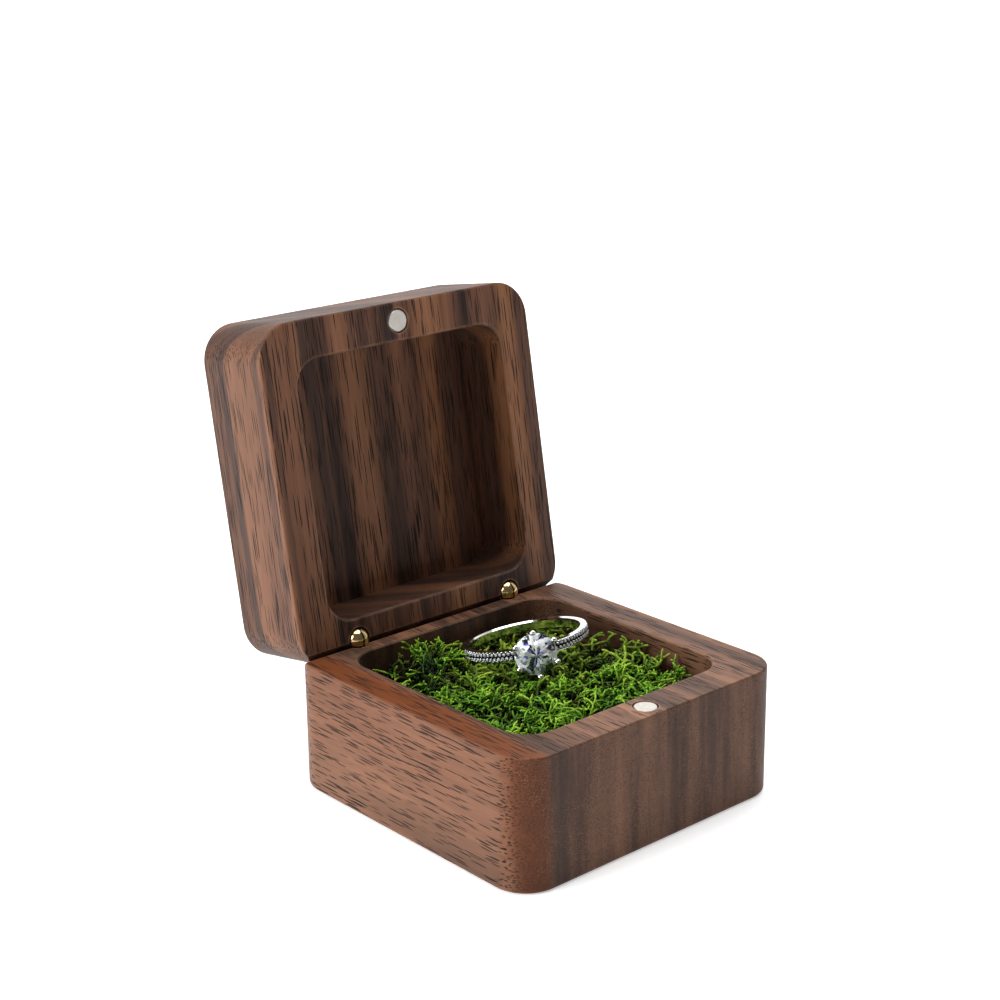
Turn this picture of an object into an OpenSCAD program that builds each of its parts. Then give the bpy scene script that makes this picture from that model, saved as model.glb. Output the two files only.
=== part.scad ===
// Ring box: two milled walnut halves on a pair of brass barrel hinges, closed by two disc magnets,
// with a bed of preserved moss and a solitaire ring lying on it.
// Frame: origin at the centre of the base's underside, +Z up, -Y the magnet side, +Y the hinge side.
// Everything that opens is drawn closed first, then swung open about the hinge axis.

/* [Box] */
// Width and depth of the square box
box_w = 58; // [56:0.5:62]
// Height of the base
base_h = 22.5; // [21.5:0.1:25]
// Height of the lid
lid_h = 17.2; // [17:0.1:21]
// Radius of the upright corners
corner_r = 6.4; // [5.5:0.1:8]
// Thickness of the side and front walls
wall = 6.7; // [6.2:0.1:7.5]
// Thickness of the base's floor
base_floor = 5; // [3:0.5:6]
// Thickness of the lid's top
lid_top = 4.9; // [3:0.1:5]
// Corner radius of the base's pocket
base_pocket_r = 5.4; // [4:0.1:6]
// Corner radius of the lid's pocket
lid_pocket_r = 4.9; // [4:0.1:6]
// Rounding of the rim edges
rim_ease = 0.4; // [0.2:0.1:0.6]
// Rounding of the far edges of each half
far_ease = 0.8; // [0.5:0.1:1.5]

/* [Opening] */
// How far the lid stands open, on its bevel
open_angle = 99.6; // [95:0.1:100]
// Air between the rims when the box is closed
rim_gap = 0.1; // [0.05:0.05:0.3]
// Height of the hinge axis above the base's rim
hinge_rise = 0.9; // [0.8:0.05:1]
// Distance from the hinge axis to the rear face
hinge_inset = 3; // [2.9:0.05:3.4]
// Distance from the rear face to where the base's bevel starts
base_bevel = 4; // [4:0.1:4.4]
// Distance from the rear face to where the lid's bevel starts
lid_bevel = 2.85; // [2.6:0.05:2.9]

/* [Hinges and magnets] */
// Diameter of a hinge barrel
barrel_d = 4; // [3.5:0.1:4]
// Length of a barrel below the hinge axis
barrel_length = 10.5; // [8:0.5:12]
// Distance from the box's middle to each hinge
hinge_x = 17; // [14:0.5:18]
// Diameter of a hinge pin
pin_d = 1; // [0.8:0.1:1.2]
// Diameter of a magnet
magnet_d = 4; // [3:0.5:4]
// Thickness of a magnet
magnet_h = 3; // [2:0.5:4]
// Distance from a magnet's centre to the front face
magnet_inset = 3.25; // [3:0.05:3.6]

/* [Ring] */
// Inner diameter of the band
finger_d = 19.1; // [17:0.1:19.4]
// Radial thickness of the band
band_t = 1.3; // [1.2:0.1:1.5]
// Height of the band along its own axis
band_w = 1.8; // [1.6:0.1:2]
// Diameter of the centre stone
stone_d = 7.2; // [6.5:0.1:7.4]
// Small stones in each row of a shoulder
stones_per_row = 16; // [8:1:16]

/* [Hidden] */
$fn = 96;

half = box_w / 2;
hinge_y = half - hinge_inset;
hinge_z = base_h + hinge_rise;
lid_z = base_h + rim_gap;
magnet_y = -half + magnet_inset;
pocket_w = box_w - 2 * wall;
pocket_ease = 0.25;
glue_gap = 0.05;
pin_play = 0.05;
lap_play = 0.04;
knuckle_play = 0.12;
mitre_play = 0.08;
relief_play = 0.25;
magnet_play = 0.12;
magnet_sink = 0.08;
over = 1;

walnut = "#6b4630";
brass = "#d9b45a";
nickel = "#c9c8c4";
silver = "#dcdee2";
clear = "#e6f0fa";

// A block with upright rounded corners. Its child is the upright edge's outline, drawn out from a
// corner's own axis, so each edge can be eased or flared; the block stands from low to high.
module corner_block(w, d, r, low, high) {
    x = w / 2 - r;
    y = d / 2 - r;
    for (sx = [-1, 1], sy = [-1, 1])
        translate([sx * x, sy * y, 0]) rotate_extrude() children();
    translate([-x, 0, 0]) rotate([90, 0, 90]) linear_extrude(2 * x) edge_pair(y, low, high) children();
    translate([0, y, 0]) rotate([90, 0, 0]) linear_extrude(2 * y) edge_pair(x, low, high) children();
}

// The outline of a slab between two opposite edges
module edge_pair(reach, low, high) {
    translate([reach, 0]) children();
    translate([-reach, 0]) mirror([1, 0]) children();
    translate([-reach, low]) square([2 * reach, high - low]);
}

// Edge outline with rounded lower and upper arrises
module eased_edge(r, h, low_ease, high_ease) {
    square([r - low_ease, h / 2]);
    translate([0, h / 2]) square([r - high_ease, h / 2]);
    translate([0, low_ease]) square([r, h - low_ease - high_ease]);
    translate([r - low_ease, low_ease]) circle(low_ease);
    translate([r - high_ease, h - high_ease]) circle(high_ease);
}

// Edge outline of a pocket whose mouth is broken by a small chamfer
module pocket_edge(r, bottom, mouth) {
    polygon([[0, bottom], [r, bottom], [r, mouth - pocket_ease],
             [r + pocket_ease + over, mouth + over], [0, mouth + over]]);
}

// A bevel plane across the rear rim: start is its distance from the rear face, up is 1 or -1
module rear_bevel(start, rim, up) {
    translate([-half - over, 0, 0]) rotate([90, 0, 90]) linear_extrude(box_w + 2 * over)
        polygon([[half - start, rim], [half - start - over, rim - up * over],
                 [half + over, rim - up * over], [half + over, rim + up * (start + over)]]);
}

// The room that the other half's barrel and tongue need at each hinge, from the hinge axis back to
// the rear face; lean is 1 in the lid and -1 in the base
module hinge_relief(lean) {
    r = barrel_d / 2 + relief_play;
    for (side = [-1, 1])
        translate([side * hinge_x, hinge_y, hinge_z]) {
            sphere(r = r);
            rotate([lean * (open_angle - 90) - 90, 0, 0]) cylinder(r = r, h = half);
        }
}

// Puts children that are drawn closed into the open pose
module swung_open() {
    translate([0, hinge_y, hinge_z]) rotate([-open_angle, 0, 0])
        translate([0, -hinge_y, -hinge_z]) children();
}

module base_shell() {
    color(walnut) difference() {
        corner_block(box_w, box_w, corner_r, 0, base_h)
            eased_edge(corner_r, base_h, far_ease, rim_ease);
        corner_block(pocket_w, pocket_w, base_pocket_r, base_floor, base_h + over)
            pocket_edge(base_pocket_r, base_floor, base_h);
        rear_bevel(base_bevel, base_h, -1);
        for (side = [-1, 1])
            translate([side * hinge_x, hinge_y, hinge_z - barrel_length - glue_gap])
                cylinder(d = barrel_d + 2 * glue_gap, h = barrel_length + over);
        hinge_relief(-1);
        translate([0, magnet_y, base_h - magnet_h - 2 * magnet_sink])
            cylinder(d = magnet_d + 2 * magnet_play, h = magnet_h + over);
    }
}

module lid_shell() {
    color(walnut) swung_open() difference() {
        translate([0, 0, lid_z]) corner_block(box_w, box_w, corner_r, 0, lid_h)
            eased_edge(corner_r, lid_h, rim_ease, far_ease);
        translate([0, 0, lid_z]) mirror([0, 0, 1])
            corner_block(pocket_w, pocket_w, lid_pocket_r, lid_top - lid_h, over)
                pocket_edge(lid_pocket_r, lid_top - lid_h, 0);
        rear_bevel(lid_bevel, lid_z, 1);
        for (side = [-1, 1])
            translate([side * hinge_x, hinge_y, hinge_z - over - hinge_rise])
                cylinder(d = barrel_d + 2 * glue_gap, h = barrel_length + glue_gap + over + hinge_rise);
        hinge_relief(1);
        translate([0, magnet_y, lid_z - over])
            cylinder(d = magnet_d + 2 * magnet_play, h = magnet_h + 2 * magnet_sink + over);
    }
}

// A disc magnet with broken edges, its outer face at z = 0 and its body below
module disc_magnet() {
    ease = 0.2;
    color(nickel) rotate_extrude() polygon([[0, 0], [magnet_d / 2 - ease, 0], [magnet_d / 2, -ease],
        [magnet_d / 2, ease - magnet_h], [magnet_d / 2 - ease, -magnet_h], [0, -magnet_h]]);
}

module base_magnet() {
    translate([0, magnet_y, base_h - magnet_sink]) disc_magnet();
}

module lid_magnet() {
    swung_open() translate([0, magnet_y, lid_z + magnet_sink]) mirror([0, 0, 1]) disc_magnet();
}

// Half a barrel hinge about its own axis point: the barrel hangs below, with glue grooves, mitred at
// the rear so that the two barrels meet when the lid is open. Its half-lap tongue fills the side of
// the knuckle that tongue_side names.
module hinge_half(tongue_side, bore) {
    r = barrel_d / 2;
    groove = 0.25;
    groove_w = 0.6;
    foot_ease = 0.3;
    color(brass) difference() {
        union() {
            difference() {
                rotate_extrude() difference() {
                    translate([0, -barrel_length]) square([r, barrel_length]);
                    for (level = [4.5 : 1.8 : 8.1])
                        translate([r - groove, -level - groove_w]) square([groove + over, groove_w]);
                    translate([r, -barrel_length]) circle(foot_ease);
                }
                rotate([-open_angle / 2, 0, 0]) translate([-barrel_d, 0, -mitre_play])
                    cube([2 * barrel_d, 2 * barrel_d, 2 * barrel_d]);
            }
            sphere(r = r);
        }
        // room for the other half's tongue
        translate([-tongue_side * (barrel_d - lap_play), 0, 0]) {
            rotate([0, 90, 0]) cylinder(r = r + knuckle_play, h = 2 * barrel_d, center = true);
            translate([-barrel_d, -barrel_d, 0]) cube([2 * barrel_d, 2 * barrel_d, barrel_d]);
        }
        rotate([0, 90, 0]) cylinder(d = bore, h = 2 * barrel_d, center = true);
    }
}

module base_barrel(side) {
    translate([side * hinge_x, hinge_y, hinge_z]) hinge_half(1, pin_d + 0.02);
}

module lid_barrel(side) {
    swung_open() translate([side * hinge_x, hinge_y, hinge_z]) mirror([0, 0, 1])
        hinge_half(-1, pin_d + 2 * pin_play);
}

module hinge_pin(side) {
    short = 0.2;
    color(brass) translate([side * hinge_x, hinge_y, hinge_z]) rotate([0, 90, 0])
        cylinder(d = pin_d, h = barrel_d - 2 * short, center = true);
}

// One tuft of the moss bed: a part of the pocket's inside, cut off flat at its own height
module moss_tuft(x0, x1, y0, y1, top) {
    clear_wall = 0.2;
    w = pocket_w - 2 * clear_wall;
    r = base_pocket_r - clear_wall;
    color("#4f7a22") intersection() {
        corner_block(w, w, r, base_floor, top) translate([0, base_floor]) square([r, top - base_floor]);
        translate([x0, y0, base_floor]) cube([x1 - x0, y1 - y0, top - base_floor]);
    }
}

tuft_gap = 0.3;
left_edge = -8;
front_edge = -7;
right_edge = 12.4;
module moss_left() {
    moss_tuft(-half, left_edge, -half, half, 20.8);
}
module moss_front() {
    moss_tuft(left_edge + tuft_gap, half, -half, front_edge, 20.6);
}
module moss_centre() {
    moss_tuft(left_edge + tuft_gap, right_edge, front_edge + tuft_gap, half, 17.7);
}
module moss_right() {
    moss_tuft(right_edge + tuft_gap, half, front_edge + tuft_gap, half, 18.2);
}

// The ring in its own frame: axis +Z, middle of the band at z = 0, head towards -Y
band_in = finger_d / 2;
band_out = band_in + band_t;
stone_rise = 12.6;
crown_h = 1.1;
girdle_h = 0.2;
pavilion_h = 2.9;
small_d = 0.68;
small_crown_h = 0.13;
small_girdle_h = 0.06;
small_pavilion_h = 0.38;
row_offset = 0.4;
shoulder_start = 19;
shoulder_step = 4;
channel_depth = 0.4;
channel_wall = 0.12;
channel_lead = 3;
prong_d = 0.8;
prong_bead_d = 1.05;

module ring_pose() {
    translate([6.9, 9.9, 21.5]) rotate([-13.4, -2, 0]) rotate([0, 0, -33]) children();
}

// Turns children that look along the head's own axis to face out of the head
module at_head(rise) {
    translate([0, -rise, 0]) rotate([90, 0, 0]) children();
}

// A brilliant's outline: table, crown, girdle and pavilion, with the girdle's middle at z = 0
module stone_body(d, crown, girdle, pavilion) {
    table = 0.56;
    rotate_extrude() polygon([[0, -girdle / 2 - pavilion], [d / 2, -girdle / 2], [d / 2, girdle / 2],
                              [table * d / 2, girdle / 2 + crown], [0, girdle / 2 + crown]]);
}

module shoulder_channel(side) {
    start = 270 + side * (shoulder_start - channel_lead);
    sweep = (stones_per_row - 1) * shoulder_step + 2 * channel_lead;
    rotate([0, 0, side > 0 ? start : start - sweep]) rotate_extrude(angle = sweep)
        translate([band_out - channel_depth, channel_wall - band_w / 2])
            square([channel_depth + over, band_w - 2 * channel_wall]);
}

module ring_band() {
    ease = 0.25;
    color(silver) ring_pose() difference() {
        rotate_extrude() difference() {
            translate([band_in, -band_w / 2]) square([band_t, band_w]);
            for (end = [-1, 1])
                translate([band_in, end * band_w / 2]) rotate(45) square(ease * sqrt(2), center = true);
        }
        for (side = [-1, 1]) shoulder_channel(side);
        at_head(band_in - over) cylinder(d = 2.6, h = band_t + 2 * over);
    }
}

module ring_head() {
    foot_r = 1.15;
    foot_rise = band_in + 0.55;
    top_r = stone_d / 2 + 0.12;
    top_rise = stone_rise + 0.95;
    gallery_rise = stone_rise - 1.5;
    lean = atan2(top_r + 0.35 - foot_r, top_rise - foot_rise);
    color(silver) ring_pose() union() {
        for (k = [0 : 5]) {
            at_head(foot_rise) rotate([0, 0, 60 * k + 30]) translate([foot_r, 0, 0]) rotate([0, lean, 0])
                cylinder(d = prong_d, h = (top_rise - foot_rise) / cos(lean));
            at_head(top_rise) rotate([0, 0, 60 * k + 30]) translate([top_r + 0.35, 0, 0])
                sphere(d = prong_bead_d);
        }
        at_head(foot_rise - 0.3) cylinder(r = foot_r + 0.1, h = 0.8);
        at_head(gallery_rise) rotate_extrude() translate([2.75, 0]) circle(d = 0.7);
    }
}

module centre_stone() {
    color(clear) ring_pose() at_head(stone_rise) stone_body(stone_d, crown_h, girdle_h, pavilion_h);
}

// Two rows of small stones along one shoulder, the rows shifted by half a step
module shoulder_stones(side) {
    color(clear) ring_pose() for (row = [-1, 1], k = [0 : stones_per_row - 1]) {
        turn = side * (shoulder_start + k * shoulder_step + (row > 0 ? 0 : shoulder_step / 2));
        if (k < stones_per_row - 1 || row > 0)
            rotate([0, 0, turn]) translate([0, 0, row * row_offset]) at_head(band_out + 0.02)
                stone_body(small_d, small_crown_h, small_girdle_h, small_pavilion_h);
    }
}

module left_shoulder_stones() {
    shoulder_stones(-1);
}

module right_shoulder_stones() {
    shoulder_stones(1);
}

base_shell();
lid_shell();
base_magnet();
lid_magnet();
base_barrel(-1);  // left_hinge_base_barrel
lid_barrel(-1);  // left_hinge_lid_barrel
hinge_pin(-1);  // left_hinge_pin
base_barrel(1);  // right_hinge_base_barrel
lid_barrel(1);  // right_hinge_lid_barrel
hinge_pin(1);  // right_hinge_pin
moss_left();
moss_front();
moss_centre();
moss_right();
ring_band();
ring_head();
centre_stone();
left_shoulder_stones();
right_shoulder_stones();
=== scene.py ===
import math

import bmesh
import bpy
import numpy as np
from mathutils import Matrix, Vector


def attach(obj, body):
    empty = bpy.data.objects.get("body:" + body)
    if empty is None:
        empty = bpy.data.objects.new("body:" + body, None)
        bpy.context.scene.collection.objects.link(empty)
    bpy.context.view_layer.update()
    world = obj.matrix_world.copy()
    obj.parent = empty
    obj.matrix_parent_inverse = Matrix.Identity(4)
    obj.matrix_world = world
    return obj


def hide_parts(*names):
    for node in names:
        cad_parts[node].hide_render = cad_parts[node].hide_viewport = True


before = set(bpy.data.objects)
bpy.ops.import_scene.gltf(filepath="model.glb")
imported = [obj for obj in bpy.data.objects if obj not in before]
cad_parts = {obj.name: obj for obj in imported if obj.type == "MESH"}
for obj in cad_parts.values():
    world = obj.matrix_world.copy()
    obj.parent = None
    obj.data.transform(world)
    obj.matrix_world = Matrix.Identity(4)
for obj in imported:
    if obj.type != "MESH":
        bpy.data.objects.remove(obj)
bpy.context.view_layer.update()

MM = 0.001

# ---------------------------------------------------------------------------------------------
# Places and sizes that the CAD part has too, in millimetres
# ---------------------------------------------------------------------------------------------
OPEN_TURN = math.radians(99.6)
HINGE = Vector((0.0, 26.0, 23.4))
HINGE_X = 17.0
POCKET_HALF = 22.3
POCKET_R = 5.4
FLOOR_Z = 5.0
RIM_Z = 22.5
RING_CENTRE = Vector((6.9, 9.9, 21.5))
RING_TURN = (Matrix.Rotation(math.radians(-2), 3, "Y") @ Matrix.Rotation(math.radians(-13.4), 3, "X")
             @ Matrix.Rotation(math.radians(-33), 3, "Z"))
BAND_IN = 9.55
BAND_OUT = 10.85
BAND_HALF_W = 0.9
CHANNEL_DEPTH = 0.4
STONE_RISE = 12.6
STONE_R = 3.6
STONES_PER_ROW = 16
SHOULDER_START = 19.0
SHOULDER_STEP = 4.0
ROW_OFFSET = 0.4
SMALL_R = 0.34


# ---------------------------------------------------------------------------------------------
# Node helpers
# ---------------------------------------------------------------------------------------------
class Graph:
    """A material's node tree; values given to a node's inputs may be numbers, colours or sockets."""

    def __init__(self, name):
        self.mat = bpy.data.materials.new(name)
        self.mat.use_nodes = True
        self.tree = self.mat.node_tree
        self.tree.nodes.clear()
        self.out = self.tree.nodes.new("ShaderNodeOutputMaterial")
        self.bsdf = self.tree.nodes.new("ShaderNodeBsdfPrincipled")
        self.tree.links.new(self.bsdf.outputs[0], self.out.inputs["Surface"])

    def node(self, kind, inputs=None, **settings):
        n = self.tree.nodes.new("ShaderNode" + kind)
        for key, value in settings.items():
            setattr(n, key, value)
        for key, value in (inputs or {}).items():
            self.put(n.inputs[key], value)
        return n

    def put(self, socket, value):
        if isinstance(value, bpy.types.NodeSocket):
            self.tree.links.new(value, socket)
        else:
            socket.default_value = value

    def surface(self, **inputs):
        for key, value in inputs.items():
            self.put(self.bsdf.inputs[key.replace("_", " ")], value)

    def math(self, op, a, b=0.0, c=0.0, clamp=False):
        return self.node("Math", {0: a, 1: b, 2: c}, operation=op, use_clamp=clamp).outputs[0]

    def span(self, value, low, high, to_low=0.0, to_high=1.0, smooth=False):
        kind = "SMOOTHSTEP" if smooth else "LINEAR"
        return self.node("MapRange", {"Value": value, "From Min": low, "From Max": high, "To Min": to_low,
                                      "To Max": to_high}, interpolation_type=kind).outputs[0]

    def vector(self, x, y, z):
        return self.node("CombineXYZ", {0: x, 1: y, 2: z}).outputs[0]

    def noise(self, vector, scale=1.0, detail=2.0, rough=0.5):
        return self.node("TexNoise", {"Vector": vector, "Scale": scale, "Detail": detail,
                                      "Roughness": rough}).outputs["Fac"]

    def cells(self, vector, feature="F1"):
        return self.node("TexVoronoi", {"Vector": vector, "Scale": 1.0}, feature=feature)

    def ramp(self, value, stops, mode="LINEAR"):
        n = self.node("ValToRGB", {"Fac": value})
        n.color_ramp.interpolation = mode
        while len(n.color_ramp.elements) < len(stops):
            n.color_ramp.elements.new(0.5)
        for element, (at, colour) in zip(n.color_ramp.elements, stops):
            element.position = at
            element.color = (*colour, 1.0)
        return n.outputs["Color"]

    def mix(self, amount, a, b, how="MIX"):
        n = self.node("Mix", data_type="RGBA", blend_type=how, clamp_factor=True)
        self.put(n.inputs["Factor"], amount)
        for socket, value in zip([s for s in n.inputs if s.type == "RGBA"], (a, b)):
            self.put(socket, value if isinstance(value, bpy.types.NodeSocket) else (*value, 1.0))
        return [s for s in n.outputs if s.type == "RGBA"][0]

    def bump(self, height, distance_mm, strength=1.0):
        return self.node("Bump", {"Height": height, "Distance": distance_mm * MM,
                                  "Strength": strength}).outputs[0]

    def mm(self, spin=Matrix.Identity(3), origin=Vector((0, 0, 0)), to=Vector((0, 0, 0))):
        """Object coordinates in millimetres, turned by spin so that the point origin comes to to."""
        place = self.node("TexCoord").outputs["Object"]
        return self.node("Mapping", {"Vector": place, "Location": to - spin @ origin,
                                     "Rotation": spin.to_euler("XYZ"), "Scale": (1 / MM,) * 3}).outputs[0]

    def grey(self, value):
        return self.node("CombineColor", {0: value, 1: value, 2: value}).outputs[0]

    def vector_math(self, op, a, b, output="Vector"):
        return self.node("VectorMath", {0: a, 1: b}, operation=op).outputs[output]

    def length(self, x, y, z=0.0):
        return self.node("VectorMath", {0: self.vector(x, y, z)}, operation="LENGTH").outputs["Value"]


# ---------------------------------------------------------------------------------------------
# Materials
# ---------------------------------------------------------------------------------------------
def walnut(name, turn, seed, stops, streaks, lean, sway_mm, band_rate, band_detail, pore_rate, pore_run, hair,
           fibre_contrast):
    """Oiled walnut with its grain along Y of the closed box: growth bands, open pores, fibres, worn edges
    with a painted highlight along them.
    """
    g = Graph(name)
    spin = Matrix.Rotation(turn, 3, "X")
    x, y, z = g.node("SeparateXYZ", {0: g.mm(spin, HINGE, HINGE)}).outputs

    def stretched(across, along, shift=0.0):
        return g.vector(g.math("MULTIPLY_ADD", x, across, shift), g.math("MULTIPLY", y, along),
                        g.math("MULTIPLY", z, across))

    # growth bands lie along the grain and lean across the board
    sway = g.noise(stretched(0.045, 0.012, seed), detail=2.0)
    u = g.math("MULTIPLY_ADD", z, lean, x)
    u = g.math("MULTIPLY_ADD", g.math("SUBTRACT", sway, 0.5), sway_mm, u)
    bands = g.noise(g.vector(g.math("MULTIPLY_ADD", u, band_rate, seed), g.math("MULTIPLY", y, 0.006),
                             g.math("MULTIPLY", z, 0.02)), detail=band_detail, rough=0.6)
    tone = g.ramp(bands, stops)
    for at, width, amount, colour in streaks:
        away = g.math("ABSOLUTE", g.math("SUBTRACT", u, at))
        tone = g.mix(g.span(away, width * 0.35, width, amount, 0.0, smooth=True), tone, colour)

    # how far the surface faces along the grain
    normal = g.node("TexCoord").outputs["Normal"]
    facing = g.vector_math("DOT_PRODUCT", normal, spin.inverted() @ Vector((0, 1, 0)), "Value")
    end = g.span(g.math("ABSOLUTE", facing), 0.30, 0.80, smooth=True)
    long_grain = g.math("SUBTRACT", 1.0, end)

    # fibres
    fibre = g.noise(stretched(2.6, 0.10), detail=4.0, rough=0.7)
    broad = g.noise(stretched(0.9, 0.035, seed), detail=2.0)
    shade = g.math("MULTIPLY", g.span(fibre, 0.28, 0.72, 1 - fibre_contrast, 1 + fibre_contrast),
                   g.span(broad, 0.3, 0.7, 0.88, 1.10))
    colour = g.mix(1.0, tone, g.grey(shade), "MULTIPLY")

    # end grain drinks more oil: darker, cooler, with pale flecks
    colour = g.mix(g.math("MULTIPLY", end, 0.43), colour, OILED_END)
    fleck_cell = g.cells(stretched(3.6, 1.2)).outputs["Distance"]
    patch = g.noise(g.vector(g.math("MULTIPLY_ADD", x, 0.14, seed), g.math("MULTIPLY", y, 0.05),
                             g.math("MULTIPLY", z, 0.09)), detail=2.0)
    fleck = g.math("MULTIPLY", g.span(fleck_cell, 0.18, 0.34, 1.0, 0.0), g.span(patch, 0.50, 0.62))
    colour = g.mix(g.math("MULTIPLY", g.math("MULTIPLY", fleck, end), 0.45), colour, FLECK)

    # pores: long narrow cells, seen as dashes along the grain and as dots across it
    cell = g.cells(stretched(pore_rate, pore_run)).outputs["Distance"]
    crowd = g.noise(stretched(0.26, 0.05, seed * 2), detail=3.0, rough=0.6)
    pore = g.span(g.math("DIVIDE", cell, g.span(crowd, 0.30, 0.56, 0.20, 0.42)), 0.82, 1.02, 1.0, 0.0)
    depth = g.span(g.noise(stretched(1.3, 0.10, seed * 3)), 0.38, 0.62, 0.86, 1.0)
    pore = g.math("MULTIPLY", pore, g.math("MULTIPLY", depth, g.math("MULTIPLY_ADD", long_grain, 0.60, 0.40)))
    line = g.cells(stretched(1.3, 0.030)).outputs["Distance"]
    line = g.math("MULTIPLY", g.span(line, 0.07, 0.13, hair, 0.0), long_grain)
    pore = g.math("MAXIMUM", pore, line)
    colour = g.mix(g.math("MULTIPLY", pore, 0.98), colour, PORE)

    # edges made pale, apart from those down in the pocket: partly rubbed wear, partly a painted highlight
    # along them
    soft_normal = g.node("Bevel", {"Radius": 0.7 * MM}, samples=6).outputs[0]
    hard_normal = g.node("NewGeometry").outputs["Normal"]
    edge = g.vector_math("DOT_PRODUCT", soft_normal, hard_normal, "Value")
    rub = g.noise(stretched(0.5, 0.5, seed), detail=3.0)
    edge_wear_and_highlight = g.math("MULTIPLY", g.span(edge, 0.975, 0.90, 0.0, 1.0), g.span(rub, 0.35, 0.65, 0.15, 0.55))
    aside = g.math("MAXIMUM", g.math("ABSOLUTE", x), g.math("ABSOLUTE", y))
    off_rim = g.math("ABSOLUTE", g.math("SUBTRACT", z, RIM_Z))
    in_the_pocket = g.math("LESS_THAN", aside, POCKET_HALF + 0.5)
    hidden = g.math("MULTIPLY", in_the_pocket, g.math("GREATER_THAN", off_rim, 0.7))
    edge_wear_and_highlight = g.math("MULTIPLY", edge_wear_and_highlight, g.math("SUBTRACT", 1.0, hidden))
    colour = g.mix(edge_wear_and_highlight, colour, RUBBED_AND_HIGHLIT)

    height = g.math("MULTIPLY_ADD", fibre, 0.35, g.math("MULTIPLY", pore, -1.0))
    rough = g.math("MULTIPLY_ADD", end, 0.10, g.math("MULTIPLY", pore, 0.2))
    rough = g.math("ADD", g.span(fibre, 0.3, 0.7, 0.38, 0.50), rough)
    g.surface(Base_Color=colour, Roughness=rough, Normal=g.bump(height, 0.05, 0.6), Specular_IOR_Level=0.13,
              Coat_Weight=0.05, Coat_Roughness=0.35, Sheen_Weight=0.10, Sheen_Roughness=0.20)
    return g.mat


def channel(g):
    """1 in the channel that the band's small stones sit in, where painted shade darkens it, 0 on the band's
    polished faces.
    """
    x, y, z = g.node("SeparateXYZ", {0: g.mm(RING_TURN.transposed(), RING_CENTRE)}).outputs
    rho = g.length(x, y)
    above_its_floor = g.span(rho, BAND_OUT - CHANNEL_DEPTH - 0.22, BAND_OUT - CHANNEL_DEPTH - 0.10)
    below_the_rails = g.span(rho, BAND_OUT - 0.02, BAND_OUT - 0.10)
    between_the_sides = g.span(g.math("ABSOLUTE", z), BAND_HALF_W - 0.06, BAND_HALF_W - 0.10)
    return g.math("MULTIPLY", g.math("MULTIPLY", above_its_floor, below_the_rails), between_the_sides)


def hinge_seam(g):
    """1 along the seam between the half-lapped tongues of each hinge, where painted shade darkens the gap."""
    x = g.node("SeparateXYZ", {0: g.mm()}).outputs[0]
    away = g.math("ABSOLUTE", g.math("SUBTRACT", g.math("ABSOLUTE", x), HINGE_X))
    return g.span(away, 0.11, 0.17, 1.0, 0.0)


def metal(name, colour, dull, rough, scratch_rate, grime, painted_shade_mask=None):
    """Polished or brushed metal: fine scratches, specks and a film of tarnish, with near-black painted shade
    where the shade mask is 1.
    """
    g = Graph(name)
    p = g.mm()
    drawn_out = g.node("Mapping", {"Vector": p, "Scale": scratch_rate}).outputs[0]
    scratch = g.noise(drawn_out, detail=4.0, rough=0.7)
    cloud = g.noise(p, scale=0.9, detail=3.0)
    film = g.math("MULTIPLY", g.span(cloud, 0.42, 0.68), grime)
    tint = g.mix(film, colour, dull)
    speck = g.noise(p, scale=9.0, detail=2.0)
    tint = g.mix(g.span(speck, 0.60, 0.72, 0.0, 0.35 * grime), tint, dull)
    # near-black painted shade in a narrow gap or channel
    if painted_shade_mask:
        tint = g.mix(painted_shade_mask(g), tint, PAINTED_SHADE_BLACK)
    polish = g.span(scratch, 0.3, 0.7, rough * 0.7, rough * 1.4)
    g.surface(Base_Color=tint, Metallic=1.0, Roughness=g.math("ADD", polish, g.math("MULTIPLY", film, 0.12)),
              Normal=g.bump(scratch, 0.012, 0.35))
    return g.mat


def moss(name, deep, mid, bright, tip):
    """Preserved reindeer moss: dyed stems with painted shade where they lie deep in the bed, and pale dry
    tips on top that are partly painted light.
    """
    g = Graph(name)
    p = g.mm()
    level = g.node("Attribute", attribute_name="level").outputs["Fac"]
    patch = g.noise(p, scale=0.22, detail=2.0)
    mottle = g.noise(p, scale=2.6, detail=3.0, rough=0.65)
    value = g.math("ADD", level, g.span(mottle, 0.3, 0.7, -0.16, 0.16))
    # painted shade: darkest deep in the bed, lightest at the tips on top
    colour = g.ramp(value, [(0.0, deep), (0.40, mid), (0.76, bright), (1.0, tip)])
    colour = g.mix(g.span(patch, 0.45, 0.66, 0.0, 0.5), colour, g.mix(0.5, colour, FADED))
    grain = g.noise(p, scale=14.0, detail=2.0)
    g.surface(Base_Color=colour, Roughness=g.span(grain, 0.3, 0.7, 0.45, 0.75),
              Normal=g.bump(grain, 0.05, 0.8), Specular_IOR_Level=0.22)
    return g.mat


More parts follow.
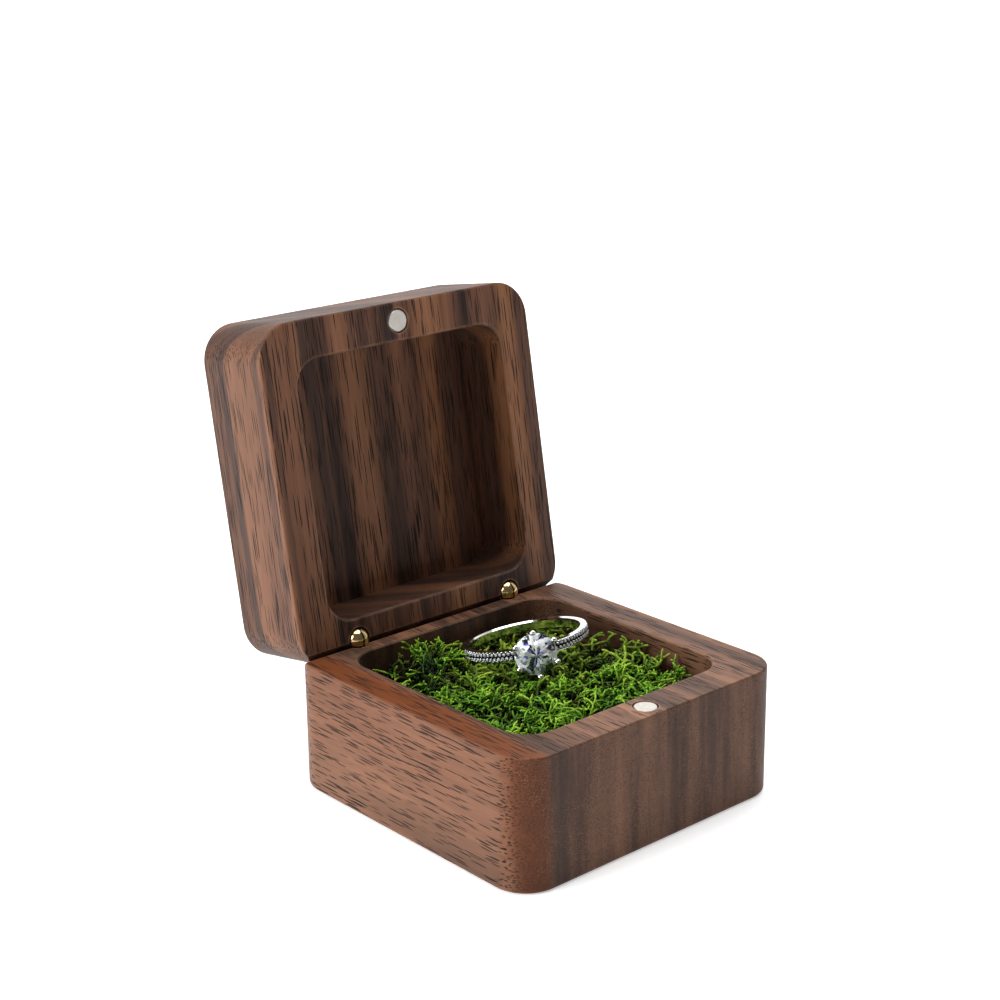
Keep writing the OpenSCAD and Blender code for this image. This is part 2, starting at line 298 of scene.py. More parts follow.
def gem(name, painted_glint, crown_shade=0.0):
    """Brilliant-cut stone: painted reflections in its colour, shards of the light, sky and shadow that its
    facets throw back, with painted glints.
    """
    g = Graph(name)
    cut = g.node("Attribute", attribute_name="cut").outputs["Vector"]
    x, y, z = g.node("SeparateXYZ", {0: cut}).outputs
    turn = g.math("ARCTAN2", y, x)
    reach = g.length(x, y)

    def shards(rate_round, rate_out):
        """Random colours in wedges that run out from the culet and are cut across on the way."""
        place = g.vector(g.math("MULTIPLY", turn, rate_round), g.math("MULTIPLY", reach, rate_out), z)
        return g.cells(place).outputs["Color"]

    large = shards(1.9, 2.3)
    big, gloss, _ = g.node("SeparateColor", {0: large}).outputs
    fine, _, spark = g.node("SeparateColor", {0: shards(4.6, 5.5)}).outputs
    light = g.math("MULTIPLY_ADD", big, 0.55, g.math("MULTIPLY", fine, 0.45))
    # painted reflections: dark, blue-grey and white shards in the colour
    colour = g.ramp(light, PAINTED_FACET_REFLECTIONS, "CONSTANT")
    # painted glints on a few shards
    colour = g.mix(g.math("GREATER_THAN", spark, 0.95), colour, painted_glint)
    # on a small stone only the table catches the light: painted shade darkens the crown
    colour = g.mix(g.span(reach, 0.62, 0.80, 0.0, crown_shade), colour, CROWN_SHADOW)
    # each large shard leans its own way
    lean = g.vector_math("SUBTRACT", large, (0.5, 0.5, 0.5))
    lean = g.node("VectorMath", {0: lean, "Scale": 0.5}, operation="SCALE").outputs[0]
    normal = g.vector_math("ADD", g.node("NewGeometry").outputs["Normal"], lean)
    g.surface(Base_Color=colour, Roughness=g.span(gloss, 0.0, 1.0, 0.02, 0.08), IOR=2.15,
              Normal=g.node("VectorMath", {0: normal}, operation="NORMALIZE").outputs[0])
    return g.mat


# Colours, as linear red, green and blue
OILED_END = (0.036, 0.020, 0.015)
FLECK = (0.36, 0.18, 0.09)
PORE = (0.010, 0.005, 0.003)
# pale edges: rubbed wear and a painted highlight along them
RUBBED_AND_HIGHLIT = (0.42, 0.24, 0.16)
INK = (0.020, 0.015, 0.016)
RUSSET = (0.150, 0.042, 0.013)
AMBER = (0.290, 0.125, 0.056)
UMBER = (0.085, 0.038, 0.022)
# near-black painted shade in the hinge seams and in the band's stone channel
PAINTED_SHADE_BLACK = (0.012, 0.011, 0.012)
FADED = (0.22, 0.25, 0.012)
CROWN_SHADOW = (0.02, 0.02, 0.025)
# painted glints on the stones' facets
PAINTED_BLUE_GLINT = (0.16, 0.17, 0.85)
PAINTED_WHITE_GLINT = (0.95, 0.97, 1.0)
# painted reflections of the stones' facets, darkest to white
PAINTED_FACET_REFLECTIONS = [(0.0, (0.008, 0.010, 0.018)), (0.33, (0.07, 0.09, 0.13)), (0.42, (0.30, 0.36, 0.46)),
              (0.51, PAINTED_WHITE_GLINT)]
BASE_STOPS = [(0.28, (0.040, 0.023, 0.017)), (0.42, (0.105, 0.051, 0.031)), (0.50, (0.165, 0.079, 0.046)),
              (0.60, (0.215, 0.103, 0.060)), (0.74, (0.280, 0.132, 0.072))]
LID_STOPS = [(0.32, (0.026, 0.013, 0.010)), (0.42, (0.074, 0.033, 0.020)), (0.50, (0.132, 0.057, 0.033)),
             (0.59, (0.182, 0.080, 0.044)), (0.72, (0.235, 0.104, 0.056))]
# Streaks of the wood's figure: place across the bands, half width, strength and colour
BASE_STREAKS = [(-25.4, 3.8, 0.95, RUSSET), (-20.7, 2.8, 0.48, INK)]
LID_STREAKS = [(-6.0, 7.5, 0.32, UMBER), (24.0, 5.5, 0.40, AMBER), (40.8, 3.0, 0.60, AMBER),
               (-10.8, 0.9, 0.50, INK), (-3.3, 1.0, 0.70, INK), (15.0, 1.8, 0.60, INK),
               (45.0, 2.2, 0.60, INK)]

MATERIALS = {
    "walnut_base": walnut("walnut_base", 0.0, 3.7, BASE_STOPS, BASE_STREAKS, lean=0.04, sway_mm=1.4,
                          band_rate=0.26, band_detail=5.0, pore_rate=3.1, pore_run=0.17, hair=0.0,
                          fibre_contrast=0.19),
    "walnut_lid": walnut("walnut_lid", OPEN_TURN, 14.1, LID_STOPS, LID_STREAKS, lean=0.75, sway_mm=2.2,
                         band_rate=0.19, band_detail=2.0, pore_rate=3.5, pore_run=0.12, hair=0.85,
                         fibre_contrast=0.13),
    "nickel": metal("nickel", colour=(0.66, 0.63, 0.58), dull=(0.50, 0.46, 0.40), rough=0.38,
                    scratch_rate=(1.5, 1.5, 6.0), grime=0.5),
    "brass": metal("brass", colour=(0.83, 0.60, 0.28), dull=(0.42, 0.24, 0.08), rough=0.13,
                   scratch_rate=(2.0, 2.0, 9.0), grime=0.4, painted_shade_mask=hinge_seam),
    "silver": metal("silver", colour=(0.92, 0.92, 0.94), dull=(0.62, 0.61, 0.62), rough=0.06,
                    scratch_rate=(3.0, 3.0, 3.0), grime=0.3, painted_shade_mask=channel),
    # moss colours run from painted shade deep in the bed to the pale tips
    "moss_fine": moss("moss_fine", deep=(0.001, 0.004, 0.001), mid=(0.016, 0.056, 0.002),
                      bright=(0.112, 0.296, 0.007), tip=(0.31, 0.53, 0.040)),
    "moss_coarse": moss("moss_coarse", deep=(0.001, 0.003, 0.001), mid=(0.013, 0.031, 0.002),
                        bright=(0.102, 0.188, 0.006), tip=(0.30, 0.41, 0.036)),
    "stone": gem("stone", PAINTED_BLUE_GLINT),
    "small_stone": gem("small_stone", PAINTED_WHITE_GLINT, crown_shade=0.75),
}
# CAD nodes that stay visible
CAD_SLOTS = {"base_shell": "walnut_base", "lid_shell": "walnut_lid", "base_magnet": "nickel",
             "lid_magnet": "nickel", "ring_band": "silver"}
for side in ("left", "right"):
    for part in ("hinge_base_barrel", "hinge_lid_barrel", "hinge_pin"):
        CAD_SLOTS[f"{side}_{part}"] = "brass"
for node_name, slot_name in CAD_SLOTS.items():
    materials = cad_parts[node_name].data.materials
    if len(materials):
        materials[0] = MATERIALS[slot_name]
    else:
        materials.append(MATERIALS[slot_name])


# ---------------------------------------------------------------------------------------------
# Mesh helpers
# ---------------------------------------------------------------------------------------------
def piece(name, points, faces, body, slot_name, stands_for=(), smooth=True, level=None, cut=None,
          look=None):
    """A mesh from points in millimetres, riding on a CAD body; look overrides the slot's material."""
    mesh = bpy.data.meshes.new(name)
    mesh.from_pydata([tuple(p) for p in np.asarray(points, float) * MM], [], faces)
    solid = bmesh.new()
    solid.from_mesh(mesh)
    bmesh.ops.recalc_face_normals(solid, faces=solid.faces)
    solid.to_mesh(mesh)
    solid.free()
    mesh.update()
    if smooth:
        mesh.shade_smooth()
    else:
        mesh.shade_flat()
    if level is not None:
        depths = mesh.attributes.new("level", "FLOAT", "POINT")
        depths.data.foreach_set("value", np.asarray(level, np.float32))
    if cut is not None:
        places = mesh.attributes.new("cut", "FLOAT_VECTOR", "POINT")
        places.data.foreach_set("vector", np.float32(cut).ravel())
    obj = bpy.data.objects.new(name, mesh)
    bpy.context.scene.collection.objects.link(obj)
    mesh.materials.append(MATERIALS[look or slot_name])
    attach(obj, body)
    if stands_for:
        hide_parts(*stands_for)
    return obj


class Shape:
    """Points and faces gathered from several closed forms."""

    def __init__(self):
        self.points, self.faces = [], []

    def add(self, points, faces):
        first = len(self.points)
        self.points += [tuple(p) for p in points]
        self.faces += [[first + i for i in face] for face in faces]

    def tube(self, path, radii, sides, across):
        """A closed round bar along a path that stays square to across; its last radii round its ends off."""
        path = np.asarray(path, float)
        along = np.gradient(path, axis=0)
        along /= np.linalg.norm(along, axis=1)[:, None]
        turn = np.linspace(0, 2 * math.pi, sides, endpoint=False)
        rings = []
        for p, t, r in zip(path, along, radii):
            a = np.cross(t, across)
            a /= np.linalg.norm(a)
            b = np.cross(t, a)
            rings.append(p + r * (np.cos(turn)[:, None] * a + np.sin(turn)[:, None] * b))
        n = len(rings)
        faces = [[k * sides + i, k * sides + (i + 1) % sides, (k + 1) * sides + (i + 1) % sides,
                  (k + 1) * sides + i] for k in range(n - 1) for i in range(sides)]
        faces += [list(range(sides))[::-1], [(n - 1) * sides + i for i in range(sides)]]
        self.add(np.concatenate(rings), faces)

    def loop(self, radius, wire, rise, squash, around=48, sides=12):
        """A closed wire ring about the local Z axis."""
        points, faces = [], []
        for k in range(around):
            a = 2 * math.pi * k / around
            after = (k + 1) % around
            for i in range(sides):
                b = 2 * math.pi * i / sides
                r = radius + wire * math.cos(b)
                points.append((r * math.cos(a), r * math.sin(a), rise + wire * squash * math.sin(b)))
                j = (i + 1) % sides
                faces.append([k * sides + i, after * sides + i, after * sides + j, k * sides + j])
        self.add(points, faces)


def bead(radius, rings=5, sides=8):
    """Points and faces of a closed ball about the local origin."""
    points = [(0, 0, -1)]
    for k in range(1, rings):
        a = math.pi * k / rings
        points += [(math.sin(a) * math.cos(2 * math.pi * i / sides),
                    math.sin(a) * math.sin(2 * math.pi * i / sides), -math.cos(a)) for i in range(sides)]
    points.append((0, 0, 1))
    last = len(points) - 1
    faces = [[0, 1 + (i + 1) % sides, 1 + i] for i in range(sides)]
    for k in range(rings - 2):
        low = 1 + k * sides
        high = low + sides
        faces += [[low + i, low + (i + 1) % sides, high + (i + 1) % sides, high + i] for i in range(sides)]
    faces += [[last, last - sides + i, last - sides + (i + 1) % sides] for i in range(sides)]
    return np.asarray(points) * radius, faces


def head_frame(rise, turn=0.0, shift=0.0):
    """Matrix from a head's own frame (Z outwards) to the row frame, in millimetres."""
    local = (Matrix.Rotation(turn, 4, "Z") @ Matrix.Translation((0, -rise, shift))
             @ Matrix.Rotation(math.radians(90), 4, "X"))
    return Matrix.Translation(RING_CENTRE) @ RING_TURN.to_4x4() @ local


def moved(points, matrix):
    m = np.asarray(matrix, float)
    return np.asarray(points, float) @ m[:3, :3].T + m[:3, 3]


# ---------------------------------------------------------------------------------------------
# Ring: brilliant-cut stones, claws, gallery and bead setting
# ---------------------------------------------------------------------------------------------
def brilliant(radius, crown, girdle, pavilion, table=0.56, fold=8):
    """A round brilliant: table, stars, kites, upper and lower girdle facets and pavilion mains."""
    points, faces = [], []
    half = math.pi / fold
    top, low = girdle / 2, -girdle / 2

    def put(reach, turn, height):
        points.append((radius * reach * math.cos(turn), radius * reach * math.sin(turn), height))
        return len(points) - 1

    # the kites' rise and the pavilion facets' meeting points keep those facets flat
    kite, main = 0.78, 0.55
    kite_rise = 1 - (kite * math.cos(half) - table) / (1 - table)
    tab = [put(table, 2 * half * k + half, top + crown) for k in range(fold)]
    mid = [put(kite, 2 * half * k, top + crown * kite_rise) for k in range(fold)]
    upper = [put(1.0, half * k, top) for k in range(2 * fold)]
    under = [put(1.0, half * k, low) for k in range(2 * fold)]
    pav = [put(main, 2 * half * k + half, low - pavilion * (1 - main * math.cos(half))) for k in range(fold)]
    culet = put(0.0, 0.0, low - pavilion)
    faces.append(tab)
    for k in range(fold):
        here, right, far, left = 2 * k, 2 * k + 1, (2 * k + 2) % (2 * fold), (2 * k - 1) % (2 * fold)
        faces += [[tab[k - 1], mid[k], tab[k]],
                  [mid[k], upper[here], upper[right]],
                  [mid[k], upper[left], upper[here]],
                  [tab[k], mid[k], upper[right], mid[(k + 1) % fold]],
                  [under[here], pav[k], under[right]],
                  [under[right], pav[k], under[far]],
                  [under[here], pav[k - 1], culet, pav[k]]]
    for k in range(2 * fold):
        n = (k + 1) % (2 * fold)
        faces.append([upper[k], under[k], under[n], upper[n]])
    return points, faces


stone_points, stone_faces = brilliant(STONE_R, crown=1.1, girdle=0.2, pavilion=2.9)
piece("centre_stone_cut", moved(stone_points, head_frame(STONE_RISE)), stone_faces, "ring", "stone",
      ["centre_stone"], smooth=False, cut=np.asarray(stone_points) / STONE_R)

# Each claw: a foot at the hub, a slim wire up past the girdle, a round bead folded over the crown's edge
CLAWS = 6
CLAW_PATH = [(1.0, -2.45), (1.45, -2.0), (2.2, -1.35), (2.95, -0.7), (3.5, -0.15), (3.76, 0.25), (3.80, 0.46),
             (3.79, 0.62), (3.74, 0.85), (3.64, 1.06), (3.54, 1.20), (3.47, 1.29)]
CLAW_RADII = [0.33, 0.32, 0.31, 0.31, 0.32, 0.34, 0.40, 0.50, 0.57, 0.53, 0.39, 0.16]
head = Shape()
for k in range(CLAWS):
    a = 2 * math.pi * (k + 0.5) / CLAWS
    out = np.array([math.cos(a), math.sin(a), 0.0])
    across = np.array([-math.sin(a), math.cos(a), 0.0])
    head.tube([out * r + np.array([0, 0, z]) for r, z in CLAW_PATH], CLAW_RADII, 16, across)
# the gallery rail, and the hub on the band
head.loop(2.62, 0.34, -1.35, squash=1.25)
head.loop(1.12, 0.42, -2.35, squash=1.3)
piece("claw_head", moved(head.points, head_frame(STONE_RISE)), head.faces, "ring", "silver", ["ring_head"])

small_points, small_faces = brilliant(SMALL_R, crown=0.13, girdle=0.06, pavilion=0.38)
small_cut = np.asarray(small_points) / SMALL_R
grain_points, grain_faces = bead(0.16)
for side, sign in (("left", -1), ("right", 1)):
    stones, grains, cuts = Shape(), Shape(), []
    for row in (-1, 1):
        # the lower row is half a step along and has one stone fewer
        late = 0.5 if row < 0 else 0
        for k in range(STONES_PER_ROW - (row < 0)):
            turn = sign * (SHOULDER_START + (k + late) * SHOULDER_STEP)
            seat = head_frame(BAND_OUT + 0.02, math.radians(turn), row * ROW_OFFSET)
            stones.add(moved(small_points, seat), small_faces)
            # every stone throws its light back differently
            cuts.append(small_cut + np.array([0, 0, 3.0 * k + row]))
            # a grain raised from the rail between this stone and the next
            spot = head_frame(BAND_OUT - 0.02, math.radians(turn + sign * SHOULDER_STEP / 2),
                              row * (ROW_OFFSET + 0.30))
            grains.add(moved(grain_points, spot), grain_faces)
    piece(f"{side}_shoulder_cut_stones", stones.points, stones.faces, "ring", "stone",
          [f"{side}_shoulder_stones"], smooth=False, cut=np.concatenate(cuts), look="small_stone")
    piece(f"{side}_shoulder_grains", grains.points, grains.faces, "ring", "silver")


# ---------------------------------------------------------------------------------------------
# Moss
# ---------------------------------------------------------------------------------------------
RIM_LIMIT = 23.2
# The room kept round the ring's head: a flattened ball that reaches furthest across the stone
HEAD_MIDDLE = STONE_RISE - 0.4
HEAD_CLEARANCE = 4.5
HEAD_FLATNESS = 1.55
# Depths under the bed's top between which the stems' painted shade goes from darkest to lightest
DARK_DEPTH, LIGHT_DEPTH = 4.4, 0.2
# How much of a stem's tone comes from its height, as painted shade; its number of forks gives the rest
SHADE_BY_HEIGHT = 0.82
# A buried trunk takes longer steps than the twigs
TRUNK_STRIDE = 1.6
POINT_BUDGET = 97000


def smoothstep(v, low, high):
    t = np.clip((v - low) / (high - low), 0, 1)
    return t * t * (3 - 2 * t)


def bed_height(x, y):
    """How high the moss stands at a place in the pocket."""
    h = 21.6 - 2.0 * smoothstep(y, 3, 16) * smoothstep(x, -2, 5)
    # a bed for the ring, a mound at the left, a bare rear-left corner and a slightly lower front-right one
    h = h + 2.6 * smoothstep(-x, 4, 8) * smoothstep(y, 2, 17)
    h = h - 7.0 * smoothstep(-x, 13.5, 18) * smoothstep(y, 8, 15)
    h = h - 0.6 * smoothstep(x, 13, 20) * smoothstep(-y, 8, 16)
    return h + 0.45 * np.sin(x * 0.83 + 1.3) * np.cos(y * 0.71) + 0.3 * np.sin(x * 1.9 - y * 1.4)


def in_pocket(p, margin):
    """How far inside the pocket's walls each point is, less the margin."""
    reach = POCKET_HALF - POCKET_R
    q = np.abs(p[:, :2]) - reach
    outside = np.hypot(np.maximum(q[:, 0], 0), np.maximum(q[:, 1], 0))
    inner = np.where((q > 0).all(1), POCKET_R - outside, POCKET_R - np.maximum(q[:, 0], q[:, 1]))
    return inner - margin


def clear_of_ring(p, margin):
    """How far each point is from the ring and from the way up that it is lifted out by, less the margin."""
    q = (p - np.asarray(RING_CENTRE)) @ np.asarray(RING_TURN, float)
    rho = np.hypot(q[:, 0], q[:, 1])
    side_gap = np.abs(rho - (BAND_IN + BAND_OUT) / 2) - (BAND_OUT - BAND_IN) / 2
    below = -BAND_HALF_W - q[:, 2]
    band = np.where(below > 0, np.hypot(np.maximum(side_gap, 0), below), side_gap)
    flat = q - np.array([0.0, -HEAD_MIDDLE, 0.0])
    flat[:, 2] = np.minimum(flat[:, 2], 0)
    flat[:, 1] *= HEAD_FLATNESS
    knob = np.linalg.norm(flat, axis=1) - HEAD_CLEARANCE
    return np.minimum(band, knob) - margin


def unit(v):
    return v / np.maximum(np.linalg.norm(v, axis=1), 1e-9)[:, None]


class Tubes:
    """Closed tubes of moss grown side by side: points, faces and how high in the bed each point is."""

    def __init__(self, sides):
        self.sides = sides
        self.turn = np.linspace(0, 2 * math.pi, sides, endpoint=False)
        self.points, self.faces, self.level = [], [], []
        self.count = 0

    def rings(self, p, d, r, ref, level):
        """A ring of points about each place; returns the number of each ring's first point."""
        a = unit(np.cross(d, ref))
        b = np.cross(d, a)
        ring = p[:, None, :] + r[:, None, None] * (np.cos(self.turn)[None, :, None] * a[:, None, :]
                                                   + np.sin(self.turn)[None, :, None] * b[:, None, :])
        self.points.append(ring.reshape(-1, 3))
        self.level.append(np.repeat(level, self.sides))
        first = self.count + np.arange(len(p)) * self.sides
        self.count += len(p) * self.sides
        return first

    def join(self, lower, upper):
        i = np.arange(self.sides)
        j = (i + 1) % self.sides
        quads = np.stack([lower[:, None] + i, lower[:, None] + j, upper[:, None] + j, upper[:, None] + i], -1)
        self.faces.extend(quads.reshape(-1, 4).tolist())

    def cap(self, first, flip=False):
        i = np.arange(self.sides)
        self.faces.extend((first[:, None] + (i[::-1] if flip else i)).tolist())

    def finish(self, stems, which, reach, level):
        """Rounds off the chosen stems where they are."""
        p, d, r, ref, first = (stems[k][which] for k in ("p", "d", "r", "ref", "first"))
        mid = self.rings(p + d * (r * reach * 0.6)[:, None], d, r * 0.8, ref, level)
        end = self.rings(p + d * (r * reach)[:, None], d, r * 0.35, ref, level)
        self.join(first, mid)
        self.join(mid, end)
        self.cap(end)


def sprout(rng, spots, style, tubes):
    """The trunks' first rings, a little above the pocket's floor."""
    n = len(spots)
    p = np.column_stack([spots, np.full(n, FLOOR_Z + 0.15)])
    d = unit(np.column_stack([rng.normal(0, 0.30, (n, 2)), np.ones(n)]))
    stems = {"p": p, "d": d, "r": rng.uniform(*style["stem_r"], n), "ref": rng.normal(0, 1, (n, 3)),
             "gen": np.zeros(n, int), "vigour": rng.uniform(0, 1, n), "curl": rng.normal(0, 1, (n, 3))}
    goal = bed_height(p[:, 0], p[:, 1]) - rng.uniform(*style["first_fork"], n)
    stems["left"] = np.maximum(((goal - p[:, 2]) / (style["step"] * TRUNK_STRIDE)).astype(int), 1)
    stems["first"] = tubes.rings(p, d, stems["r"], stems["ref"], np.zeros(n))
    tubes.cap(stems["first"], True)
    return stems


def advance(rng, stems, style):
    """Where each stem goes next, its new direction and radius, and whether there is room for it there."""
    p, d, r, gen = stems["p"], stems["d"], stems["r"], stems["gen"]
    top = bed_height(p[:, 0], p[:, 1]) + style["overshoot"] * (stems["vigour"] - 0.5)
    # each stem keeps its own bend, climbs while it is deep and spreads out near the top
    d = d + stems["curl"] * (style["curl"] * np.where(gen == 0, 0.4, 1.0))[:, None]
    d = d + rng.normal(0, 1, d.shape) * style["wander"]
    climb = np.clip((top - style["spread_depth"] - p[:, 2]) / style["spread_depth"], -0.7, 0.9)
    d[:, 2] += (climb - d[:, 2]) * 0.22
    # near a wall it turns back inwards
    shy = in_pocket(p, 1.2) < 0
    d[shy, :2] -= np.sign(p[shy, :2]) * 0.30 * (np.abs(p[shy, :2]) > POCKET_HALF - 2.5)
    d = unit(d)
    q = p + d * np.where(gen == 0, style["step"] * TRUNK_STRIDE, style["step"])[:, None]
    r_new = np.maximum(r * style["taper"], style["tip_r"])
    room = ((in_pocket(q, 0.15) - r_new > 0) & (clear_of_ring(q, 0.12) - r_new > 0)
            & (q[:, 2] < np.minimum(top + 0.8, RIM_LIMIT)) & (q[:, 2] > FLOOR_Z + 0.1))
    return q, d, r_new, room


def forked(rng, parent, style, tubes, level):
    """The two children of each parent stem, which start a little inside it."""
    m = len(parent["p"])
    hinge_axis = unit(np.cross(parent["d"], rng.normal(0, 1, (m, 3))))
    total = rng.uniform(*style["fork_angle"], m)
    share = rng.uniform(0.30, 0.70, m)
    children = []
    for sign in (1, -1):
        a = np.where(sign > 0, total * share, -total * (1 - share))
        d = parent["d"] * np.cos(a)[:, None] + np.cross(hinge_axis, parent["d"]) * np.sin(a)[:, None]
        r = np.maximum(parent["r"] * rng.uniform(*style["child"], m), style["tip_r"])
        child = {"p": parent["p"], "d": d, "r": r, "ref": rng.normal(0, 1, (m, 3)),
                 "gen": parent["gen"] + 1, "curl": rng.normal(0, 1, (m, 3)),
                 "vigour": np.clip(parent["vigour"] + rng.normal(0, 0.25, m), 0, 1)}
        span = rng.integers(style["node_steps"][0], style["node_steps"][1] + 1, m)
        child["left"] = np.where(child["gen"] >= style["forks"], np.maximum(span // 2, 1), span)
        start = parent["p"] - d * (parent["r"] * 0.5)[:, None]
        child["first"] = tubes.rings(start, d, r * 1.02, child["ref"], level)
        tubes.cap(child["first"], True)
        children.append(child)
    return children


def grow(seed, spots, style):
    """Forking stems grown together, one step at a time; returns points, faces and levels of one mesh."""
    rng = np.random.default_rng(seed)
    tubes = Tubes(style["sides"])
    stems = sprout(rng, spots, style, tubes)
    while len(stems["p"]) and tubes.count < POINT_BUDGET:
        q, d, r, room = advance(rng, stems, style)
        # 0 deep in the bed, in painted shade, 1 at the tips on top
        height = q[:, 2] - bed_height(q[:, 0], q[:, 1]) + DARK_DEPTH
        height = np.clip(height / (DARK_DEPTH - LIGHT_DEPTH), 0, 1)
        age = np.clip(stems["gen"] / style["forks"], 0, 1)
        level = height * SHADE_BY_HEIGHT + age * (1 - SHADE_BY_HEIGHT)
        if not room.all():
            tubes.finish(stems, ~room, 1.2, np.minimum(level[~room] + 0.06, 1))
        stems.update(p=q, d=d, r=r, left=stems["left"] - 1)
        stems = {k: v[room] for k, v in stems.items()}
        level = level[room]
        if not len(level):
            break
        new = tubes.rings(stems["p"], stems["d"], stems["r"], stems["ref"], level)
        tubes.join(stems["first"], new)
        stems["first"] = new
        fork = stems["left"] <= 0
        quits = rng.uniform(0, 1, len(level)) < style["quit"] * (stems["gen"] > 2)
        last = fork & ((stems["gen"] >= style["forks"]) | quits)
        if last.any():
            tubes.finish(stems, last, 1.8, np.minimum(level[last] + 0.15, 1))
        split = fork & ~last
        parts = [{k: v[~fork] for k, v in stems.items()}]
        if split.any():
            tubes.cap(stems["first"][split])
            parts += forked(rng, {k: v[split] for k, v in stems.items()}, style, tubes, level[split])
        stems = {k: np.concatenate([part[k] for part in parts]) for k in stems}
    if len(stems["p"]):
        tubes.finish(stems, np.ones(len(stems["p"]), bool), 1.5, np.full(len(stems["p"]), 0.8))
    return np.concatenate(tubes.points), tubes.faces, np.concatenate(tubes.level)


def scatter(seed, low, high, spacing):
    """Jittered grid of root places inside a rectangle of the pocket."""
    rng = np.random.default_rng(seed)
    xs, ys = np.meshgrid(np.arange(low[0] + spacing / 2, high[0], spacing),
                         np.arange(low[1] + spacing / 2, high[1], spacing))
    spots = np.column_stack([xs.ravel(), ys.ravel()])
    spots += rng.uniform(-0.45, 0.45, spots.shape) * spacing
    return spots[in_pocket(np.column_stack([spots, np.zeros(len(spots))]), 0.8) > 0]


FINE = dict(sides=5, step=0.45, node_steps=(3, 4), stem_r=(0.31, 0.37), tip_r=0.16, taper=0.985,
            child=(0.87, 0.95), fork_angle=(0.9, 1.6), wander=0.07, curl=0.09, spread_depth=2.2,
            first_fork=(3.5, 8.0), overshoot=1.8, forks=5, quit=0.06)
COARSE = dict(sides=6, step=0.50, node_steps=(4, 6), stem_r=(0.40, 0.48), tip_r=0.20, taper=0.988,
              child=(0.86, 0.95), fork_angle=(0.9, 1.6), wander=0.08, curl=0.11, spread_depth=2.4,
              first_fork=(4.0, 8.5), overshoot=2.4, forks=4, quit=0.05)
ANTLER = dict(sides=8, step=0.50, node_steps=(3, 5), stem_r=(0.50, 0.58), tip_r=0.26, taper=0.988,
              child=(0.80, 0.92), fork_angle=(0.8, 1.3), wander=0.06, curl=0.09, spread_depth=2.0,
              first_fork=(3.0, 4.5), overshoot=1.2, forks=3, quit=0.0)
# Each tuft: seed, two corners of its rectangle, spacing of its roots, style, slot, and roots of thick sprigs
TUFTS = {
    "moss_left": (101, (-22.3, -22.3), (-8.0, 22.3), 2.85, FINE, "moss_fine", []),
    "moss_front": (202, (-8.5, -22.3), (22.3, -6.6), 2.85, FINE, "moss_fine", [(19.0, -9.5), (7.0, -15.0)]),
    "moss_centre": (303, (-8.8, -7.4), (12.4, 22.3), 2.9, COARSE, "moss_coarse", [(8.0, -4.0), (-4.5, 16.0)]),
    "moss_right": (404, (12.7, -6.7), (22.3, 22.3), 2.9, COARSE, "moss_coarse",
                   [(18.0, -3.5), (20.5, 4.5), (17.5, 8.5), (14.5, -5.0)]),
}
for node_name, (seed, low, high, spacing, style, slot_name, antlers) in TUFTS.items():
    points, faces, level = grow(seed, scatter(seed, low, high, spacing), style)
    if antlers:
        more_points, more_faces, more_level = grow(seed + 1, np.array(antlers), ANTLER)
        faces = faces + [[len(points) + i for i in face] for face in more_faces]
        points = np.concatenate([points, more_points])
        level = np.concatenate([level, more_level])
    piece(node_name + "_tuft", points, faces, "base", slot_name, [node_name], level=level)


# ---------------------------------------------------------------------------------------------
# Floor, light and camera
# ---------------------------------------------------------------------------------------------
HALF_FLOOR = 30.0
# Distances from the box, in millimetres, over which the paper's own glow takes over from the lamps
GLOW_NEAR, GLOW_FAR = 150.0, 700.0
floor_mesh = bpy.data.meshes.new("floor")
floor_mesh.from_pydata([(-HALF_FLOOR, -HALF_FLOOR, 0), (HALF_FLOOR, -HALF_FLOOR, 0),
                        (HALF_FLOOR, HALF_FLOOR, 0), (-HALF_FLOOR, HALF_FLOOR, 0)], [], [[0, 1, 2, 3]])
floor = bpy.data.objects.new("floor", floor_mesh)
bpy.context.scene.collection.objects.link(floor)
paper = Graph("floor_paper")
paper_grain = paper.noise(paper.mm(), scale=1.5, detail=3.0)
away = paper.node("VectorMath", {0: paper.mm()}, operation="LENGTH").outputs["Value"]
paper.surface(Base_Color=paper.ramp(paper_grain, [(0.3, (0.80, 0.80, 0.80)), (0.7, (0.84, 0.84, 0.84))]),
              Roughness=0.9, Specular_IOR_Level=0.0, Emission_Color=(1.0, 1.0, 1.0, 1.0),
              Emission_Strength=paper.span(away, GLOW_NEAR, GLOW_FAR, 0.45, 1.1))
floor_mesh.materials.append(paper.mat)

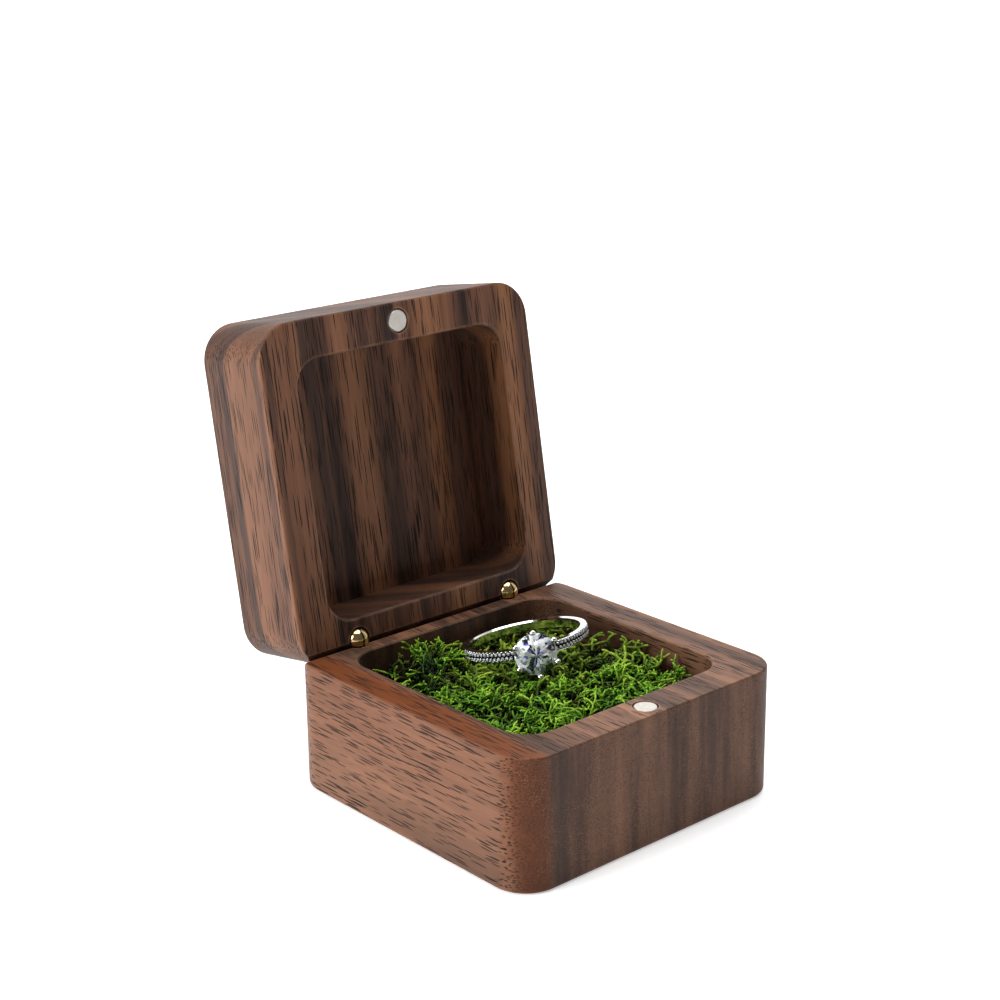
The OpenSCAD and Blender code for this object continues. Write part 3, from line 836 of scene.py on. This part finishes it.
# a studio that is brightest behind the box, to the right
world = bpy.data.worlds.new("studio")
bpy.context.scene.world = world
world.use_nodes = True
sky = world.node_tree
background = sky.nodes["Background"]
background.inputs["Color"].default_value = (1.0, 1.0, 1.0, 1.0)
toward = sky.nodes.new("ShaderNodeVectorMath")
toward.operation = "DOT_PRODUCT"
toward.inputs[1].default_value = Vector((0.55, 0.80, 0.10)).normalized()
sky.links.new(sky.nodes.new("ShaderNodeTexCoord").outputs["Generated"], toward.inputs[0])
glow = sky.nodes.new("ShaderNodeMapRange")
glow.inputs["From Max"].default_value = 0.9
glow.inputs["To Min"].default_value = 0.12
glow.inputs["To Max"].default_value = 1.3
sky.links.new(toward.outputs["Value"], glow.inputs["Value"])
# seen straight on, the backdrop beyond the floor's edge is white in every direction
backdrop = sky.nodes.new("ShaderNodeMath")
backdrop.operation = "MAXIMUM"
sky.links.new(glow.outputs[0], backdrop.inputs[0])
sky.links.new(sky.nodes.new("ShaderNodeLightPath").outputs["Is Camera Ray"], backdrop.inputs[1])
sky.links.new(backdrop.outputs[0], background.inputs["Strength"])


def softbox(name, place, aim, side, watts):
    """A square lamp of soft white light."""
    light = bpy.data.lights.new(name, "AREA")
    light.shape = "SQUARE"
    light.size = side
    light.energy = watts
    obj = bpy.data.objects.new(name, light)
    obj.location = place
    obj.rotation_euler = (Vector(aim) - Vector(place)).to_track_quat("-Z", "Y").to_euler()
    bpy.context.scene.collection.objects.link(obj)


BOX_MIDDLE = (0.0, 0.0, 0.02)
softbox("key", (-0.74, 0.20, 0.38), BOX_MIDDLE, 0.45, 6.4)
softbox("top", (0.10, 0.10, 1.0), BOX_MIDDLE, 0.8, 10.0)

CAMERA_PLACE = Vector((-204.84, -225.14, 147.58))
# The camera's heading, from +Y towards +X, its dip below level and its roll
CAMERA_HEADING = math.radians(41.283)
CAMERA_DIP = math.radians(17.703)
CAMERA_ROLL = math.radians(-0.682)
camera_data = bpy.data.cameras.new("camera")
camera_data.lens = 71.23
camera_data.sensor_width = 36.0
camera_data.clip_start = 0.01
camera_data.clip_end = 100.0
camera = bpy.data.objects.new("camera", camera_data)
camera.matrix_world = (Matrix.Translation(CAMERA_PLACE * MM) @ Matrix.Rotation(-CAMERA_HEADING, 4, "Z")
                       @ Matrix.Rotation(math.radians(90) - CAMERA_DIP, 4, "X")
                       @ Matrix.Rotation(CAMERA_ROLL, 4, "Z"))
bpy.context.scene.collection.objects.link(camera)
bpy.context.scene.camera = camera
bpy.context.scene.view_settings.view_transform = "Standard"
